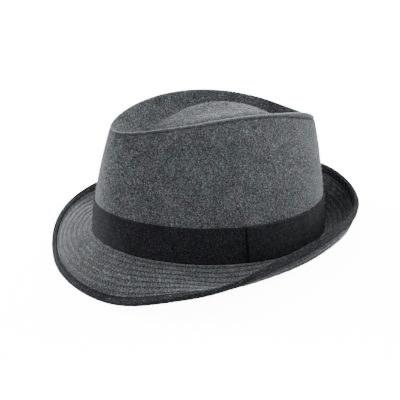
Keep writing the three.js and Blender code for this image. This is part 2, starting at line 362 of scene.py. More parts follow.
def cloth_piece(name, grid, painted_shade_and_highlight=None, form="ring"):
    """Closed body from a grid: a ring, a strip with two flat ends, or a dish with two poles."""
    rows, columns = grid.shape[:2]
    i, j = np.meshgrid(np.arange(rows - (form == "dish")), np.arange(columns - (form == "strip")),
                       indexing="ij")
    i, j = i.ravel(), j.ravel()
    quads = corner_values(lambda r, c: r % rows * columns + c % columns, i, j, i + 1, j + 1)
    across, around = lengths(grid, 0), lengths(grid, 1)
    uv = corner_values(lambda r, c: around[c] + 1j * across[r], i, j, i + 1, j + 1)
    points = grid.reshape(-1, 3)
    triangles, triangle_uv = np.zeros((0, 3), int), np.zeros((0, 3), complex)
    if form == "strip":
        k = np.arange(rows // 2 - 1)
        first = np.stack([k, rows - 1 - k, rows - 2 - k, k + 1], -1) * columns
        quads = np.vstack([quads, first[:, ::-1], first + columns - 1])
        uv = np.vstack([uv, np.zeros((2 * len(k), 4))])
    if form == "dish":
        j = np.arange(columns)
        here, after = j, (j + 1) % columns
        last = (rows - 1) * columns
        under = np.stack([np.full(columns, len(points)), here, after], -1)
        above = np.stack([last + here, np.full(columns, len(points) + 1), last + after], -1)
        triangles = np.vstack([under, above])
        triangle_uv = np.repeat((around[:-1] + 0j)[:, None], 3, axis=1)
        triangle_uv = np.vstack([triangle_uv, triangle_uv + 1j * across[rows - 1]])
        points = np.vstack([points, grid[0].mean(axis=0), grid[-1].mean(axis=0)])
        painted_shade_and_highlight = None if painted_shade_and_highlight is None else np.append(painted_shade_and_highlight.ravel(), [0, 0])
    return finish_mesh(name, points, quads, uv, triangles, triangle_uv, painted_shade_and_highlight)


# %% From faces to a mesh


def volume(points, triangles):
    """Signed volume of a closed mesh: each triangle's box product against the origin."""
    a, b, c = (points[triangles[:, k]] for k in range(3))
    return np.einsum("ij,ij->i", a, np.cross(b, c)).sum() / 6


def finish_mesh(name, points, quads, uv, triangles, triangle_uv, painted_shade_and_highlight):
    """Writes points, faces, UVs and the value of painted shade and highlight into a smooth mesh whose
    faces look out.
    """
    body = np.vstack([quads[:, [0, 1, 2]], quads[:, [0, 2, 3]], triangles])
    size = volume(points, body)
    if size < 0:
        quads, uv = quads[:, ::-1], uv[:, ::-1]
        triangles, triangle_uv = triangles[:, ::-1], triangle_uv[:, ::-1]
    corners = np.concatenate([quads.ravel(), triangles.ravel()])
    starts = np.concatenate([np.arange(0, quads.size, 4), quads.size + np.arange(0, triangles.size, 3)])
    places = np.concatenate([uv.ravel(), triangle_uv.ravel()])
    mesh = bpy.data.meshes.new(name)
    mesh.vertices.add(len(points))
    mesh.vertices.foreach_set("co", points.astype(np.float32).ravel())
    mesh.loops.add(len(corners))
    mesh.loops.foreach_set("vertex_index", corners.astype(np.int32))
    mesh.polygons.add(len(starts))
    mesh.polygons.foreach_set("loop_start", starts.astype(np.int32))
    mesh.polygons.foreach_set("use_smooth", np.ones(len(starts), dtype=bool))
    mesh.update(calc_edges=True)
    layer = mesh.uv_layers.new(name="cloth")
    layer.data.foreach_set("uv", np.stack([places.real, places.imag], -1).astype(np.float32).ravel())
    if painted_shade_and_highlight is not None:
        mesh.attributes.new("painted_shade_and_highlight", "FLOAT", "POINT").data.foreach_set("value", painted_shade_and_highlight.ravel())
    mesh.validate()
    piece = bpy.data.objects.new(name, mesh)
    bpy.context.scene.collection.objects.link(piece)
    print(name, "triangles:", len(body), "cubic cm:", round(1e6 * abs(size), 1))
    return piece


# %% Material and body


def wear(piece, cloth, slot, *nodes):
    """Gives a piece its material, ties it to the body and hides its CAD nodes; slot is not used."""
    piece.data.materials.clear()
    piece.data.materials.append(cloth)
    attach(piece, "root")
    if nodes:
        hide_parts(*nodes)


# %% [markdown]
# ## Finish: heathered wool
# The cloth is spun from light and dark fibres, so from close up it is a grain of pale and dark
# flecks, and from far away a soft grey. Three sizes of noise give the clouds, the yarns and the
# fibres, a fourth turns the grey a little green or violet, and a few bright flecks are single pale
# hairs. Each piece carries one value for painted light: at 1 it paints the shade of a sewn groove
# or crease nearly black, and below 0 it paints a highlight by making the cloth paler. The fuzz on
# wool catches light at a grazing angle, which the sheen stands for.

# %% Node helpers


def node(tree, kind, **inputs):
    """Adds a node and sets its inputs: a value is stored, a socket is linked."""
    made = tree.nodes.new(kind)
    for key, value in inputs.items():
        socket = made.inputs[int(key[1:])] if key[0] == "_" else made.inputs[key.replace("_", " ")]
        if isinstance(value, bpy.types.NodeSocket):
            tree.links.new(value, socket)
        else:
            socket.default_value = value
    return made


def ramp(tree, factor, *stops):
    """Colour ramp: each stop is a place and a grey or a colour."""
    made = node(tree, "ShaderNodeValToRGB", Fac=factor)
    elements = made.color_ramp.elements
    while len(elements) < len(stops):
        elements.new(0.5)
    for element, (place, colour) in zip(elements, stops):
        element.position = place
        element.color = colour if len(colour) == 4 else (*colour, 1)
    return made.outputs["Color"]


def grain(tree, place, scale, detail, roughness=0.6):
    """Noise in metres: scale is the number of blobs in a metre."""
    return node(tree, "ShaderNodeTexNoise", Vector=place, Scale=scale, Detail=detail,
                Roughness=roughness).outputs["Fac"]


def mixed(tree, kind, factor, a, b):
    """Mixes two colours, by multiplying them or plainly."""
    made = tree.nodes.new("ShaderNodeMix")
    made.data_type, made.blend_type = "RGBA", kind
    for socket, value in ((made.inputs[0], factor), (made.inputs[6], a), (made.inputs[7], b)):
        if isinstance(value, bpy.types.NodeSocket):
            tree.links.new(value, socket)
        else:
            socket.default_value = value
    return made.outputs[2]


def sum_of(tree, *parts):
    """Weighted sum of values, as (socket, weight) pairs."""
    total = None
    for socket, weight in parts:
        scaled = node(tree, "ShaderNodeMath", _0=socket, _1=weight)
        scaled.operation = "MULTIPLY"
        if total is None:
            total = scaled.outputs[0]
        else:
            total = node(tree, "ShaderNodeMath", _0=total, _1=scaled.outputs[0]).outputs[0]
    return total


def finish(name, roughness, sheen, sheen_roughness, sheen_tint):
    """An empty cloth material: a rough principled shader whose sheen stands for the fuzz."""
    made = bpy.data.materials.new(name)
    made.use_nodes = True
    shader = made.node_tree.nodes["Principled BSDF"]
    shader.inputs["Roughness"].default_value = roughness
    shader.inputs["Specular IOR Level"].default_value = 0.05
    shader.inputs["Sheen Weight"].default_value = sheen
    shader.inputs["Sheen Roughness"].default_value = sheen_roughness
    shader.inputs["Sheen Tint"].default_value = sheen_tint
    return made, made.node_tree, shader


# %% Heathered cloth
CLOUDS, YARN, FIBRE, HAIR, TINT = 60, 800, 1500, 900, 75  # blobs in a metre
RIBS = 600  # in a metre
DARK_AT, MIDDLE_AT, LIGHT_AT = 0.38, 0.5, 0.64  # on the noise's scale from 0 to 1
HAIR_FROM, HAIR_FULL = 0.7, 0.76
GREENISH, VIOLETISH = (0.88, 1, 0.92), (0.98, 0.95, 1)
# painted shade: the colour that grooves, creases and the overlap's edge are darkened towards
PAINTED_SHADE_COLOUR = (0.02, 0.02, 0.03, 1)
GRAIN_HEIGHT = 0.7 * MM


def heathered(name, light, middle, dark, fleck, sheen, ribs):
    """Clouds, yarns, fibres and pale hairs; painted shade where the value is 1, a painted highlight
    where it is -1.
    """
    made, tree, shader = finish(name, 1.0, sheen, 0.3, (0.95, 0.97, 1, 1))
    coordinates = node(tree, "ShaderNodeTexCoord")
    place = coordinates.outputs["Object"]
    yarn = grain(tree, place, YARN, 3, 0.75)
    fibre = grain(tree, place, FIBRE, 2, 0.7)
    mottle = sum_of(tree, (grain(tree, place, CLOUDS, 3), 0.1), (yarn, 0.55), (fibre, 0.35))
    cloth = ramp(tree, mottle, (DARK_AT, dark), (MIDDLE_AT, middle), (LIGHT_AT, light))
    tint = ramp(tree, grain(tree, place, TINT, 4, 0.75), (0.4, GREENISH), (0.6, VIOLETISH))
    cloth = mixed(tree, "MULTIPLY", 1.0, cloth, tint)
    hair = ramp(tree, grain(tree, place, HAIR, 1, 0.5), (HAIR_FROM, (0, 0, 0)), (HAIR_FULL, (1, 1, 1)))
    cloth = mixed(tree, "MIX", hair, cloth, fleck)
    # painted shade and highlight, read from a value on the mesh
    painted_shade_and_highlight = node(tree, "ShaderNodeAttribute")
    painted_shade_and_highlight.attribute_name = "painted_shade_and_highlight"
    cloth = mixed(tree, "MULTIPLY", painted_shade_and_highlight.outputs["Fac"], cloth, PAINTED_SHADE_COLOUR)
    # paler cloth for the painted highlight
    highlight_cloth = ramp(tree, mottle, (DARK_AT, middle), (MIDDLE_AT, light), (LIGHT_AT, fleck))
    painted_highlight = sum_of(tree, (painted_shade_and_highlight.outputs["Fac"], -1.0))
    cloth = mixed(tree, "MIX", painted_highlight, cloth, highlight_cloth)
    tree.links.new(cloth, shader.inputs["Base Color"])
    weave = tree.nodes.new("ShaderNodeTexWave")
    weave.wave_type, weave.bands_direction = "BANDS", "X"
    tree.links.new(coordinates.outputs["UV"], weave.inputs["Vector"])
    weave.inputs["Scale"].default_value = RIBS
    weave.inputs["Distortion"].default_value = 1.2
    bump = node(tree, "ShaderNodeBump", Strength=0.6, Distance=GRAIN_HEIGHT,
                Height=sum_of(tree, (yarn, 0.6), (fibre, 0.4), (weave.outputs["Fac"], ribs)))
    tree.links.new(bump.outputs[0], shader.inputs["Normal"])
    return made


print("size of a cloud, a yarn and a fibre in mm:", [round(1000 / n, 1) for n in (CLOUDS, YARN, FIBRE)])

# %% [markdown]
# ## Finish: band and binding cloth
# The band and the binding are cut from darker, closer cloth of the same kind: fewer pale fibres,
# and a fine rib that runs across the strip. The rib reads the UV map, which is measured in metres
# along the cloth.

# %% Three cloths
wool = heathered("heathered_wool", (0.1, 0.105, 0.11, 1), (0.024, 0.025, 0.027, 1),
                 (0.003, 0.003, 0.0035, 1), (0.12, 0.122, 0.125, 1), 0.16, 0.0)
band_cloth = heathered("band_cloth", (0.02, 0.02, 0.023, 1), (0.005, 0.005, 0.006, 1),
                       (0.0015, 0.0015, 0.002, 1), (0.04, 0.04, 0.045, 1), 0.015, 0.2)
binding_cloth = heathered("binding_cloth", (0.03, 0.031, 0.034, 1), (0.006, 0.006, 0.008, 1),
                          (0.002, 0.002, 0.0025, 1), (0.14, 0.14, 0.14, 1), 0.012, 0.2)
print("finishes:", [m.name for m in (wool, band_cloth, binding_cloth)])

# %% [markdown]
# ## Crown side
# The wall of the crown is one panel of cloth, closed by a seam at centre back and sewn to the tip
# at its top. Just under the lip it is drawn in by that seam, less so in front, where it is pressed
# flat. Painted shade darkens the back seam's groove and, in dashes, the tuck under the lip. Steamed
# wool is never quite even, so slow waves of a third of a millimetre go over it.

# %% Crown side
SEAM_HALF_WIDTH = 0.9 * MM
SEAM_DEPTH = 0.5 * MM
# painted shade in the back seam's groove, as a share of full dark
BACK_SEAM_PAINTED_SHADE = 0.7
SWELL_HALF_WIDTH = 5 * SEAM_HALF_WIDTH
TUCK = 1.4 * MM
TUCK_IN_FRONT = 0.1
# dashes of painted shade round the head in the tuck under the lip
TUCK_SHADE_DASHES = 140
UNEVEN = 0.3 * MM
BEHIND_FROM, BEHIND_TO = 35, 80  # degrees from the front


def dip(distance, half_width):
    """Bell curve: 1 in the middle, nearly 0 from two half widths on."""
    return np.exp(-(distance / half_width) ** 2)


def uneven(turn, height):
    """Three slow waves round and up the crown, at most UNEVEN high together."""
    up = height / RIM_HEIGHT
    return UNEVEN * (0.5 * np.sin(3 * turn + 4 * up + 1) + 0.3 * np.sin(7 * turn - 6 * up)
                     + 0.2 * np.sin(11 * turn + 9 * up + 2))


def behind(turn):
    """0 near the front and 1 round the sides and back, eased from BEHIND_FROM to BEHIND_TO."""
    from_front = np.degrees(np.arccos(np.cos(turn)))
    return smooth((from_front - BEHIND_FROM) / (BEHIND_TO - BEHIND_FROM))


def crown_side_grid():
    """Up the inside face and down the outside, less a bell for the centre-back join and an eased tuck;
    painted shade darkens both, the tuck in dashes.
    """
    share = np.concatenate([np.linspace(0, 0.93, 48), np.linspace(0.94, 1, 14)])
    turn = np.broadcast_to(round_head, (len(share), COLUMNS))
    top = wall_height(round_head) - LIP_HEIGHT - CLEARANCE
    height = -BRIM_THICKNESS + share[:, None] * (top + BRIM_THICKNESS)
    from_back = (turn - np.pi) * FOOT_HALF_WIDTH
    back_seam = dip(from_back, SEAM_HALF_WIDTH)
    swell = 0.5 * dip(from_back, SWELL_HALF_WIDTH)
    drawn = TUCK_IN_FRONT + (1 - TUCK_IN_FRONT) * behind(turn)
    tuck = smooth((height - top + TUCK) / TUCK) * drawn
    offset = uneven(turn, height) - SEAM_DEPTH * (back_seam - swell) - 0.5 * SEAM_DEPTH * tuck
    outside = wall(turn, height, offset)
    inside = wall(turn, height, np.full_like(height, -WALL))
    # painted shade: dark dashes in the tuck under the lip, and dark in the back seam's groove
    shade_dashes = 0.75 + 0.25 * np.cos(TUCK_SHADE_DASHES * turn)
    painted_shade_and_highlight = np.maximum(BACK_SEAM_PAINTED_SHADE * back_seam, tuck ** 3 * shade_dashes)
    return np.vstack([inside, outside[::-1]]), np.vstack([0 * painted_shade_and_highlight, painted_shade_and_highlight[::-1]])


side_grid, side_painted_shade = crown_side_grid()
crown_side = cloth_piece("crown_side_cloth", on_table(side_grid), side_painted_shade)
wear(crown_side, wool, "wool_cloth", "crown_side")

# %% [markdown]
# ## Crown tip
# The tip is a teardrop panel moulded over a block: its edge is turned down into a lip that meets
# the wall, then comes a narrow ridge, a groove all round and a dome. In front the lip is pressed
# flat against the wall. Along the sides and behind it rolls over the wall and is rounder, and a
# highlight is painted on its top there. Wool is felted when it is moulded, so its surface is never
# smooth: small lumps, drawn at random on a lattice with a fixed seed, are added to the shape
# itself, because a bump in the material would be flat in profile.

# %% Felted surface
LUMP = 0.2 * MM
LUMP_PITCH = 1.3 * MM
LATTICE = np.random.default_rng(5).normal(size=(600, 600))


def lumpy(first, second):
    """Felted surface: random heights on a square lattice, eased between its points."""
    place = np.stack([first, second], axis=-1)
    low = np.floor(place).astype(int)
    a, b = np.moveaxis(smooth(place - low), -1, 0)
    i, j = np.moveaxis(low, -1, 0) % len(LATTICE)
    ni, nj = (i + 1) % len(LATTICE), (j + 1) % len(LATTICE)
    this_row = LATTICE[i, j] * (1 - a) + LATTICE[ni, j] * a
    next_row = LATTICE[i, nj] * (1 - a) + LATTICE[ni, nj] * a
    return LUMP * (this_row * (1 - b) + next_row * b)


print("usual height of a lump in mm:", round(1000 * LUMP * float(LATTICE.std()), 2))

# %% Lip and ridge
LIP_ROLL_FRONT = 0.15 * MM
LIP_ROLL_BACK = 0.7 * MM
LIP_ROUND = 1.4 * MM
LIP_RISE = 3.0 * MM
LIP_RISE_AT = math.radians(140)
LIP_SAG = 1.0 * MM
LIP_SAG_AT = math.radians(200)
LIP_SPREAD = math.radians(21)
LIP_OVAL = 0.75  # depth of the lip's half oval as a share of half its height
LIP_STEPS = 13
FLAT_STEPS = 8
# share of the painted highlight on the lip that is kept in front
HIGHLIGHT_IN_FRONT = 0.25


def lip_rise(turn):
    """One wave up at the left rear, LIP_RISE high, and one down at the right rear, by LIP_SAG."""
    return (LIP_RISE * dip(turn - LIP_RISE_AT, LIP_SPREAD)
            - LIP_SAG * dip(turn - LIP_SAG_AT, LIP_SPREAD))


def lip_roll(turn):
    """How far the lip stands out over the wall: eased from the front round to the back."""
    return LIP_ROLL_FRONT + (LIP_ROLL_BACK - LIP_ROLL_FRONT) * behind(turn)


def ridge(turn, inset, drop):
    """Point near the rim, inset and dropped; the square of the height rounds the lip off behind."""
    height = 1 - drop / LIP_HEIGHT
    rounded = LIP_ROUND * behind(turn) * height ** 2 * (1 - inset / RIDGE_WIDTH)
    point = rim(turn) - outward(rim, turn) * (inset + rounded)[..., None]
    point[..., 2] += lip_rise(turn) * height - drop
    return point


def lip_grid():
    """Hem under the lip, then the lip's half oval, then the flat of the ridge, as it goes in, and a
    painted highlight over the lip's top.
    """
    hem = ridge(round_head[None], np.full((1, COLUMNS), WALL + CLEARANCE), LIP_HEIGHT + 0 * round_head)
    angle = np.linspace(-math.pi / 2, math.pi / 2, LIP_STEPS)[:, None]
    turn = np.broadcast_to(round_head, (LIP_STEPS, COLUMNS))
    half = LIP_HEIGHT / 2
    inset = LIP_OVAL * half * (1 - np.cos(angle)) - lip_roll(turn) * np.cos(angle)
    lip = ridge(turn, inset, half * (1 - np.sin(angle)))
    inset = np.linspace(LIP_OVAL * half, RIDGE_WIDTH, FLAT_STEPS)[1:-1, None] + 0 * round_head
    turn = np.broadcast_to(round_head, inset.shape)
    fallen = smooth((inset - half) / (RIDGE_WIDTH - half))
    flat = ridge(turn, inset, RIDGE_DROP * fallen)
    # painted highlight: full on the top of the lip, fading over the ridge's flat
    top_of_lip = smooth(1.6 * np.sin(angle[:, 0]) - 0.6)
    painted_highlight = np.concatenate([[0], top_of_lip, np.linspace(1, 0, len(flat))])
    return np.vstack([hem, lip, flat]), painted_highlight


edge_grid, lip_painted_highlight = lip_grid()
print("rows over lip and ridge:", len(edge_grid))

# %% Bowl and the whole tip
NEAR_RIDGE = 0.86  # share of the bowl from which the lip's rise is felt
NEAR_CENTRE = 0.02
SMALL_STEP = 1e-3  # of turn or share, for the direction of the surface


def bowl_grid():
    """Top face from the ridge to the dome, with its lumps, and a face WALL below it."""
    share = np.concatenate([np.linspace(1, NEAR_RIDGE, 12, endpoint=False),
                            np.linspace(NEAR_RIDGE, NEAR_CENTRE, 72)])
    turn = np.broadcast_to(round_head, (len(share), COLUMNS))
    share = np.broadcast_to(share[:, None], turn.shape)
    top = tip(turn, share)
    top[..., 2] += lip_rise(turn) * smooth((share - NEAR_RIDGE) / (1 - NEAR_RIDGE))
    inward = tip(turn, share - SMALL_STEP) - tip(turn, share + SMALL_STEP)
    normal = np.cross(tip(turn + SMALL_STEP, share) - tip(turn - SMALL_STEP, share), inward)
    normal /= np.linalg.norm(normal, axis=-1, keepdims=True)
    under = top - WALL * normal * np.sign(normal[..., 2:])
    top[..., 2] += lumpy(top[..., 0] / LUMP_PITCH, top[..., 1] / LUMP_PITCH)
    return top, under[4::3]


bowl_top, bowl_under = bowl_grid()
tip_grid = np.vstack([bowl_under[::-1], edge_grid, bowl_top])
# painted highlight on lip and ridge, negative so that it makes the cloth paler, strongest round the
# sides and back
highlight_rows = np.concatenate([np.zeros(len(bowl_under)), lip_painted_highlight, np.zeros(len(bowl_top))])
highlight_round = HIGHLIGHT_IN_FRONT + (1 - HIGHLIGHT_IN_FRONT) * behind(round_head)
tip_painted_highlight = -highlight_rows[:, None] * highlight_round
TIP_TOP = len(bowl_under) + 1  # first row of the tip that shows
crown_tip = cloth_piece("crown_tip_cloth", on_table(tip_grid), tip_painted_highlight, form="dish")
wear(crown_tip, wool, "wool_cloth", "crown_tip")

# %% [markdown]
# ## Brim
# A brim like this is two layers of cloth with a stiff core, quilted together by rows of stitching
# that run parallel to its edge. Each row pulls the cloth down into a fine groove and lets it swell
# between the rows, on both faces, and the felted surface goes over it. Painted shade darkens each
# groove. The part under the binding stays flat.

# %% Brim
STITCH_ROWS = 7
GROOVE_SINK = 0.5 * MM
GROOVE_HALF_WIDTH = 0.6 * MM
# half width of the painted shade along each groove
PAINTED_SHADE_HALF_WIDTH = 1.3 * GROOVE_HALF_WIDTH
PILLOW = 0.03 * MM
BRIM_FELT = 0.8  # share of LUMP
ROWS_BY_A_GROOVE = np.array([-0.5, -0.3, -0.17, -0.1, -0.04, 0.04, 0.1, 0.17, 0.3])  # of a pitch


def row_place(turn, row):
    """Distance of a stitch row from the root: the rows share the open width evenly."""
    return (brim_width(turn) - BINDING_WIDTH) * (row + 0.5) / STITCH_ROWS


def quilted(turn, along):
    """Depth below the plain face, a bell at each row less a slow swell, and the groove's painted shade.
    """
    pitch = (brim_width(turn) - BINDING_WIDTH) / STITCH_ROWS
    phase = along / pitch
    from_row = (phase - np.floor(phase) - 0.5) * pitch
    inside = smooth((brim_width(turn) - BINDING_WIDTH - along) / MM)
    groove = dip(from_row, GROOVE_HALF_WIDTH) * inside
    painted_shade = dip(from_row, PAINTED_SHADE_HALF_WIDTH) * inside
    pillow = PILLOW * inside * np.sin(np.pi * (phase - 0.5)) ** 2
    return GROOVE_SINK * groove - pillow, painted_shade


def brim_grid():
    """Rows gathered at the stitch rows, over the top and back along the underside."""
    open_share = ((np.arange(STITCH_ROWS)[:, None] + 0.5 + ROWS_BY_A_GROOVE) / STITCH_ROWS).ravel()
    open_width = brim_width(round_head) - BINDING_WIDTH
    bound = open_width + np.linspace(0, 1, 4)[:, None] * (BINDING_WIDTH - RIBBON - CLEARANCE)
    along = np.vstack([open_share[:, None] * open_width, bound])
    turn = np.broadcast_to(round_head, along.shape)
    depth, painted_shade = quilted(turn, along)
    around = turn / (2 * np.pi) * len(LATTICE)
    felted = BRIM_FELT * lumpy(around, along / LUMP_PITCH) * smooth((open_width - along) / MM)
    top = brim(turn, along, felted - depth)
    under = brim(turn, along, depth - BRIM_THICKNESS - felted[:, ::-1])
    root = wall(turn[:1], 0 * along[:1], CLEARANCE + 0 * along[:1])
    root_under = wall(turn[:1], 0 * along[:1] - BRIM_THICKNESS, CLEARANCE + 0 * along[:1])
    # painted shade in the grooves on both faces
    painted_shade_and_highlight = np.vstack([0 * painted_shade[:1], painted_shade, painted_shade[::-1], 0 * painted_shade[:1]])
    return np.vstack([root, top, under[::-1], root_under]), painted_shade_and_highlight


brim_points, brim_painted_shade = brim_grid()
brim_cloth = cloth_piece("brim_cloth", on_table(brim_points), brim_painted_shade)
wear(brim_cloth, wool, "wool_cloth", "brim")

# %% [markdown]
# ## Sewing thread
# A machine stitch is a short bar of thread that dives into the cloth at both ends. One bar is a
# small template; whole arrays place it at equal steps along a row, so thousands of stitches are
# one mesh. The thread is as dark as the binding, and with the painted shade in the grooves the
# rows read as thin dark lines.

# %% Places of the stitches
STITCH_LENGTH = 2.6 * MM
STITCH_PITCH = 3.2 * MM


def even_turns(curve, pitch):
    """Turns that split a closed curve into equal lengths near the pitch, and the length itself."""
    turn = np.linspace(0, 2 * np.pi, 4 * COLUMNS)
    run = np.cumsum(np.append(0, np.linalg.norm(np.diff(curve(turn), axis=0), axis=1)))
    count = int(round(run[-1] / pitch))
    return np.interp(np.arange(count) / count * run[-1], run, turn), run[-1] / count


def row_line(row, above):
    """One stitch row as a curve of the turn, at a height above the brim's plain face."""
    def line(turn):
        place = row_place(turn, row)[None]
        return brim(turn[None], place, np.full_like(place, above))[0]
    return line


print("stitches in the innermost row:",
      len(even_turns(lambda turn: on_table(row_line(0, 0.0)(turn)), STITCH_PITCH)[0]))

# %% Bars of thread
THREAD_RADIUS = 0.33 * MM
THREAD_SIDES = 5

# Columns: share of the stitch, height over the cloth in radii, thickness in radii
BAR_ROWS = np.array([
    (0, -1.6, 0.5),
    (0.12, 0.3, 1),
    (0.5, 0.6, 1),
    (0.88, 0.3, 1),
    (1, -1.6, 0.5),
])


def stitch_bars(start, end, up):
    """Bars from start to end: a tube of THREAD_SIDES, arched over the cloth and closed."""
    share, arch, thick = BAR_ROWS.T * np.array([1, THREAD_RADIUS, THREAD_RADIUS])[:, None]
    along = end - start
    side = np.cross(up, along)
    side /= np.linalg.norm(side, axis=1, keepdims=True)
    angle = 2 * np.pi * np.arange(THREAD_SIDES) / THREAD_SIDES
    middle = start[:, None] + along[:, None] * share[:, None] + up[:, None] * arch[:, None]
    round_bar = side[:, None, None] * np.cos(angle)[:, None]
    round_bar = round_bar + up[:, None, None] * np.sin(angle)[:, None]
    return middle[:, :, None] + round_bar * thick[:, None, None]


def bar_mesh(name, bars):
    """One mesh of many closed bars; bars is stitches x rings x sides x 3."""
    count, rings, sides = bars.shape[:3]
    ring, side = np.meshgrid(np.arange(rings - 1), np.arange(sides), indexing="ij")
    ring, side = ring.ravel(), side.ravel()
    after = (side + 1) % sides
    quads = np.stack([ring * sides + side, ring * sides + after,
                      (ring + 1) * sides + after, (ring + 1) * sides + side], -1)
    fan = np.arange(1, sides - 1)
    low = np.stack([0 * fan, fan + 1, fan], -1)
    high = (rings - 1) * sides + np.stack([0 * fan, fan, fan + 1], -1)
    shift = (np.arange(count) * rings * sides)[:, None, None]
    quads = (quads + shift).reshape(-1, 4)
    triangles = (np.vstack([low, high]) + shift).reshape(-1, 3)
    return finish_mesh(name, bars.reshape(-1, 3), quads, np.zeros(quads.shape, complex),
                       triangles, np.zeros(triangles.shape, complex), None)


# %% Stitches on both faces


def sewn_row(curve, off):
    """Stitches along a closed curve; off is the same curve a little off the cloth."""
    turns, pitch = even_turns(lambda turn: on_table(curve(turn)), STITCH_PITCH)
    ends = turns + np.diff(np.append(turns, 2 * np.pi)) * STITCH_LENGTH / pitch
    start, end = on_table(curve(turns)), on_table(curve(ends))
    up = on_table(off((turns + ends) / 2)) - on_table(curve((turns + ends) / 2))
    return stitch_bars(start, end, up / np.linalg.norm(up, axis=1, keepdims=True))


def brim_rows(above, sign):
    """Stitch rows on one face of the brim; sign is +1 on top and -1 below."""
    rows = [sewn_row(row_line(row, above), row_line(row, above + sign * MM))
            for row in range(STITCH_ROWS)]
    return np.concatenate(rows)


thread = bpy.data.materials.new("sewing_thread")
thread.use_nodes = True
thread_shader = thread.node_tree.nodes["Principled BSDF"]
thread_shader.inputs["Base Color"].default_value = (0.008, 0.008, 0.01, 1)
thread_shader.inputs["Roughness"].default_value = 0.7
thread_shader.inputs["Sheen Weight"].default_value = 0.03

for face, above, sign in (("top", -GROOVE_SINK, 1), ("under", GROOVE_SINK - BRIM_THICKNESS, -1)):
    sewn = bar_mesh("brim_stitches_" + face, brim_rows(above, sign))
    wear(sewn, thread, "binding_cloth")

# %% [markdown]
# ## Binding
# The raw edge of the brim is wrapped in a strip of darker cloth, folded round it and sewn through.
# In section it is a U: the two legs lie on the brim's faces, their ends are turned in and pulled
# down by the last row of stitches, and the fold is round.

# %% Brim binding
EDGE_ROUND = 0.45 * MM
SEW_IN = 1.3 * MM
SEW_HALF_WIDTH = 0.5 * MM
# painted shade along the binding's stitch row, as a share of full dark
SEW_PAINTED_SHADE = 0.7
LEG_TO = 5.9 * MM  # where the fold begins


def binding_height(from_inner):
    """Height of a leg's face over its bed: rolled at the inner end, dipped at its stitch row."""
    rolled = np.sqrt(np.clip(1 - (1 - np.clip(from_inner / (2 * EDGE_ROUND), 0, 1)) ** 2, 0, 1))
    sewn = 0.3 * dip(from_inner - SEW_IN, SEW_HALF_WIDTH)
    return RIBBON * (0.25 + 0.75 * rolled - sewn)


def binding_grid():
    """From the inner end over the top leg, round the fold, back below, and along the inside."""
    leg = np.concatenate([np.linspace(0, 2 * MM, 14), np.linspace(2.4 * MM, LEG_TO, 8)])
    width = brim_width(round_head)
    along = width - BINDING_WIDTH + leg[:, None]
    turn = np.broadcast_to(round_head, along.shape)
    face = CLEARANCE + binding_height(leg)[:, None] + 0 * along
    top = brim(turn, along, face)
    under = brim(turn, along, -BRIM_THICKNESS - face)
    angle = np.linspace(math.pi / 2, -math.pi / 2, 15)[1:-1, None] + 0 * round_head
    half = BRIM_THICKNESS / 2 + CLEARANCE + RIBBON
    base = width - BINDING_WIDTH + leg[-1]
    fold = brim(np.broadcast_to(round_head, angle.shape),
                base + (width - base) * np.cos(angle), half * np.sin(angle) - BRIM_THICKNESS / 2)
    inner = np.linspace(0, BINDING_WIDTH - RIBBON, 5)[:, None]
    bed = width - BINDING_WIDTH + inner
    turn = np.broadcast_to(round_head, bed.shape)
    inside_top = brim(turn, bed, CLEARANCE + 0 * bed)
    inside_under = brim(turn, bed, -BRIM_THICKNESS - CLEARANCE + 0 * bed)
    # painted shade in the groove of the binding's stitch row, on both legs
    groove = SEW_PAINTED_SHADE * dip(leg - SEW_IN, SEW_HALF_WIDTH)
    painted_shade_and_highlight = np.concatenate([groove, np.zeros(len(fold)), groove[::-1], np.zeros(2 * len(bed))])
    grid = np.vstack([top, fold, under[::-1], inside_under, inside_top[::-1]])
    return grid, painted_shade_and_highlight[:, None] + 0 * round_head, 2 * len(leg) + len(fold)


binding_points, binding_painted_shade, BINDING_OUTSIDE = binding_grid()
binding = cloth_piece("brim_binding_cloth", on_table(binding_points), binding_painted_shade)
wear(binding, binding_cloth, "binding_cloth", "brim_binding")

# %% [markdown]
# ## Band and its overlap
# The band is a plain strip of fine cloth with turned edges, laid round the foot of the crown. Its
# ends meet on the wearer's left under a short overlap, which shows as one upright edge, darkened
# by painted shade, and a small step at the bottom. Both follow the crown's own waves.

# %% Hat band
STRIP_ROUND = 0.02  # share of the strip's height


def strip_height(share, round_share):
    """Thickness profile of a strip with turned edges: a little thicker near both edges."""
    edge = np.minimum(share, 1 - share)
    rolled = np.sqrt(np.clip(1 - (1 - np.clip(edge / round_share, 0, 1)) ** 2, 0, 1))
    hem = 0.12 * dip(edge - 1.6 * round_share, round_share)
    return RIBBON * (0.3 + 0.6 * rolled + hem)


def strip_grid(turn, low, inner):
    """Up the inside and down the outside of a strip that follows the crown's wall."""
    share = np.concatenate([np.linspace(0, 0.07, 8), np.linspace(0.1, 0.9, 34),
                            np.linspace(0.93, 1, 8)])
    height = low + share[:, None] * (BAND_HEIGHT - low) + 0 * turn
    turns = np.broadcast_to(turn, height.shape)
    crown = uneven(turns, height)
    inside = wall(turns, height, inner + crown)
    outside = wall(turns, height, inner + crown + strip_height(share, STRIP_ROUND)[:, None])
    return np.vstack([inside, outside[::-1]])


band_grid = strip_grid(round_head, CLEARANCE, CLEARANCE)
band = cloth_piece("hat_band_cloth", on_table(band_grid))
wear(band, band_cloth, "band_cloth", "hat_band")

# %% The band's overlap
TAB_LIFT = 0.6 * MM
